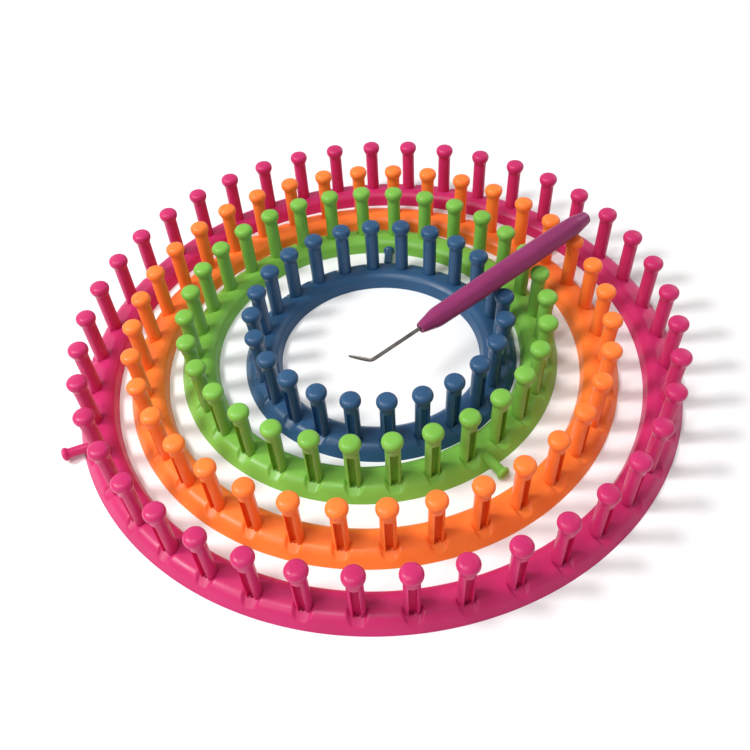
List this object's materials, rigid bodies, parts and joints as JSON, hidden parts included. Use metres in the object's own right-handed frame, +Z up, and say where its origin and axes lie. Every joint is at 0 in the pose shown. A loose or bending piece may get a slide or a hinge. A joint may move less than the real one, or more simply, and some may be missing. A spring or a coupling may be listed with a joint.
{
  "type": "knitting loom",
  "caption": "Nested set of low round knitting looms with knobbed, grooved pegs and short side anchor pegs, and a bent hook lying across them.",
  "frame": {"origin": "on the table at the centre of the largest loom, which is the centre of the set's footprint", "axes": "+Z up along the pegs, +X to the right and +Y away from the usual viewer; the hook's needle points towards -X and -Y"},
  "size_m": [0.2906, 0.2893, 0.0467],
  "materials": {
    "pink_plastic": "satin gloss, moulded",
    "orange_plastic": "satin gloss, moulded",
    "green_plastic": "satin gloss, moulded",
    "blue_plastic": "satin gloss, moulded",
    "purple_plastic": "satin, moulded",
    "needle_steel": "plain drawn wire, lightly polished"
  },
  "bodies": {
    "pink_loom": {"pink_ring": "pink_plastic", "pink_anchor_peg": "pink_plastic", "pink_peg_run_1": "pink_plastic", "pink_peg_run_2": "pink_plastic", "pink_peg_run_3": "pink_plastic", "pink_peg_run_4": "pink_plastic", "pink_peg_run_5": "pink_plastic", "pink_peg_run_6": "pink_plastic", "pink_peg_run_7": "pink_plastic", "pink_peg_run_8": "pink_plastic", "pink_peg_run_9": "pink_plastic"},
    "orange_loom": {"orange_ring": "orange_plastic", "orange_anchor_peg": "orange_plastic", "orange_peg_run_1": "orange_plastic", "orange_peg_run_2": "orange_plastic", "orange_peg_run_3": "orange_plastic", "orange_peg_run_4": "orange_plastic", "orange_peg_run_5": "orange_plastic", "orange_peg_run_6": "orange_plastic", "orange_peg_run_7": "orange_plastic", "orange_peg_run_8": "orange_plastic", "orange_peg_run_9": "orange_plastic"},
    "green_loom": {"green_ring": "green_plastic", "green_anchor_peg": "green_plastic", "green_peg_run_1": "green_plastic", "green_peg_run_2": "green_plastic", "green_peg_run_3": "green_plastic", "green_peg_run_4": "green_plastic", "green_peg_run_5": "green_plastic", "green_peg_run_6": "green_plastic", "green_peg_run_7": "green_plastic", "green_peg_run_8": "green_plastic"},
    "blue_loom": {"blue_ring": "blue_plastic", "blue_anchor_peg": "blue_plastic", "blue_peg_01": "blue_plastic", "blue_peg_02": "blue_plastic", "blue_peg_03": "blue_plastic", "blue_peg_04": "blue_plastic", "blue_peg_05": "blue_plastic", "blue_peg_06": "blue_plastic", "blue_peg_07": "blue_plastic", "blue_peg_08": "blue_plastic", "blue_peg_09": "blue_plastic", "blue_peg_10": "blue_plastic", "blue_peg_11": "blue_plastic", "blue_peg_12": "blue_plastic", "blue_peg_13": "blue_plastic", "blue_peg_14": "blue_plastic", "blue_peg_15": "blue_plastic", "blue_peg_16": "blue_plastic", "blue_peg_17": "blue_plastic", "blue_peg_18": "blue_plastic", "blue_peg_19": "blue_plastic", "blue_peg_20": "blue_plastic", "blue_peg_21": "blue_plastic", "blue_peg_22": "blue_plastic", "blue_peg_23": "blue_plastic", "blue_peg_24": "blue_plastic"},
    "hook": {"hook_handle": "purple_plastic", "hook_needle": "needle_steel"}
  },
  "joints": [
    {"name": "orange_loom_lift", "type": "slide", "parent": "pink_loom", "child": "orange_loom", "axis": [0, 0, 1], "range_m": [0, 0.06]},
    {"name": "green_loom_lift", "type": "slide", "parent": "orange_loom", "child": "green_loom", "axis": [0, 0, 1], "range_m": [0, 0.06]},
    {"name": "blue_loom_lift", "type": "slide", "parent": "green_loom", "child": "blue_loom", "axis": [0, 0, 1], "range_m": [0, 0.06]},
    {"name": "hook_lift", "type": "slide", "parent": "blue_loom", "child": "hook", "axis": [0, 0, 1], "range_m": [0, 0.06]}
  ]
}
